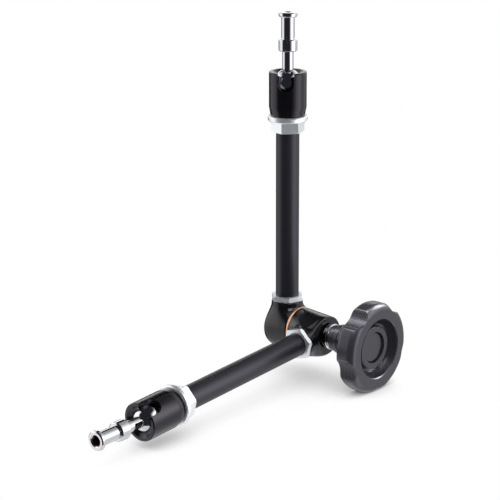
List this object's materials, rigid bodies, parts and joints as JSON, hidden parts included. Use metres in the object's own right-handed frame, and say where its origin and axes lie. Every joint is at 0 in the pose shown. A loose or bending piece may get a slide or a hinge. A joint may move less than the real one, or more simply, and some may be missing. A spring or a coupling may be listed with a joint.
{
  "type": "articulating friction arm",
  "caption": "Folding arm of two black tubes on one locking elbow with a scalloped knob, and a ball head with a steel spigot at each end.",
  "frame": {"origin": "middle of the lower spigot's waist, on its axis, where the clamp that holds the arm bears", "axes": "+X along the elbow's axis towards the knob, +Z along the upper arm towards its spigot, lower arm towards +Y from its spigot to the elbow"},
  "size_m": [0.1178, 0.3136, 0.3124],
  "materials": {
    "polished_steel": "bright chrome-plated steel, mirror polished",
    "black_paint": "glossy black paint on cast aluminium",
    "black_tube": "satin black powder coat on aluminium tube",
    "black_anodise": "smooth black anodised aluminium",
    "copper": "bare copper friction washer",
    "plain_steel": "machined steel",
    "bronze": "machined bronze",
    "knob_plastic": "dark grey moulded plastic with a smooth sheen"
  },
  "bodies": {
    "lower_spigot": {"lower_stud": "polished_steel"},
    "lower_swivel": {"lower_ball": "polished_steel"},
    "lower_arm": {"lower_housing": "black_anodise", "lower_flange_nut": "polished_steel", "lower_tube": "black_tube", "lower_jam_nut": "polished_steel", "lower_elbow": "black_paint", "friction_washer": "copper"},
    "lower_rod": {"lower_push_rod": "plain_steel", "lower_ball_seat": "bronze"},
    "upper_arm": {"upper_elbow": "black_paint", "upper_jam_nut": "polished_steel", "upper_tube": "black_tube", "upper_flange_nut": "polished_steel", "upper_housing": "black_anodise"},
    "upper_rod": {"upper_push_rod": "plain_steel", "upper_ball_seat": "bronze"},
    "upper_swivel": {"upper_ball": "polished_steel"},
    "upper_spigot": {"upper_stud": "polished_steel"},
    "bolt": {"draw_bolt": "plain_steel", "upper_wedge": "plain_steel", "stop_nut": "plain_steel"},
    "thrust": {"lower_wedge": "plain_steel", "thrust_washer": "polished_steel", "spring_washer": "polished_steel"},
    "knob": {"knob": "knob_plastic", "knob_cap": "knob_plastic", "knob_insert": "bronze"}
  },
  "joints": [
    {"name": "lower_spin", "type": "hinge", "parent": "lower_spigot", "child": "lower_swivel", "pos_m": [-0.00185, 0.04661, 0.0002], "axis": [0.0397, -0.9992, -0.0044], "continuous": true},
    {"name": "lower_tilt", "type": "hinge", "parent": "lower_swivel", "child": "lower_arm", "pos_m": [-0.00185, 0.04661, 0.0002], "axis": [0.848, 0.036, -0.5287], "range_deg": [-29.3, 85.7]},
    {"name": "arm_pivot", "type": "hinge", "parent": "lower_arm", "child": "upper_arm", "pos_m": [-0.02305, 0.26141, 0.01485], "axis": [1, 0, 0], "continuous": true},
    {"name": "upper_tilt", "type": "hinge", "parent": "upper_arm", "child": "upper_swivel", "pos_m": [-0.03775, 0.26141, 0.23015], "axis": [0.848, 0.5299, 0], "range_deg": [-25, 90]},
    {"name": "upper_spin", "type": "hinge", "parent": "upper_swivel", "child": "upper_spigot", "pos_m": [-0.03775, 0.26141, 0.23015], "axis": [0, 0, 1], "continuous": true},
    {"name": "knob_turn", "type": "hinge", "parent": "thrust", "child": "knob", "pos_m": [0.03695, 0.26141, 0.01485], "axis": [1, 0, 0], "range_deg": [0, 360]},
    {"name": "thrust_slide", "type": "slide", "parent": "lower_arm", "child": "thrust", "axis": [1, 0, 0], "range_m": [0, 0.00076]},
    {"name": "bolt_slide", "type": "slide", "parent": "upper_arm", "child": "bolt", "axis": [-1, 0, 0], "range_m": [0, 0.00076]},
    {"name": "lower_rod_slide", "type": "slide", "parent": "lower_arm", "child": "lower_rod", "axis": [0, 0.9977, 0.068], "range_m": [0, 0.00076]},
    {"name": "upper_rod_slide", "type": "slide", "parent": "upper_arm", "child": "upper_rod", "axis": [0, 0, -1], "range_m": [0, 0.00076], "stiffness_N_per_m": 100, "springref_m": -0.0106}
  ],
  "couplings": [
    {"joint": "thrust_slide", "follows": "knob_turn", "m_per_rad": 0.00011937},
    {"joint": "bolt_slide", "follows": "knob_turn", "m_per_rad": 0.00011937},
    {"joint": "lower_rod_slide", "follows": "knob_turn", "m_per_rad": 0.00011937},
    {"joint": "upper_rod_slide", "follows": "knob_turn", "m_per_rad": 0.00011937}
  ]
}
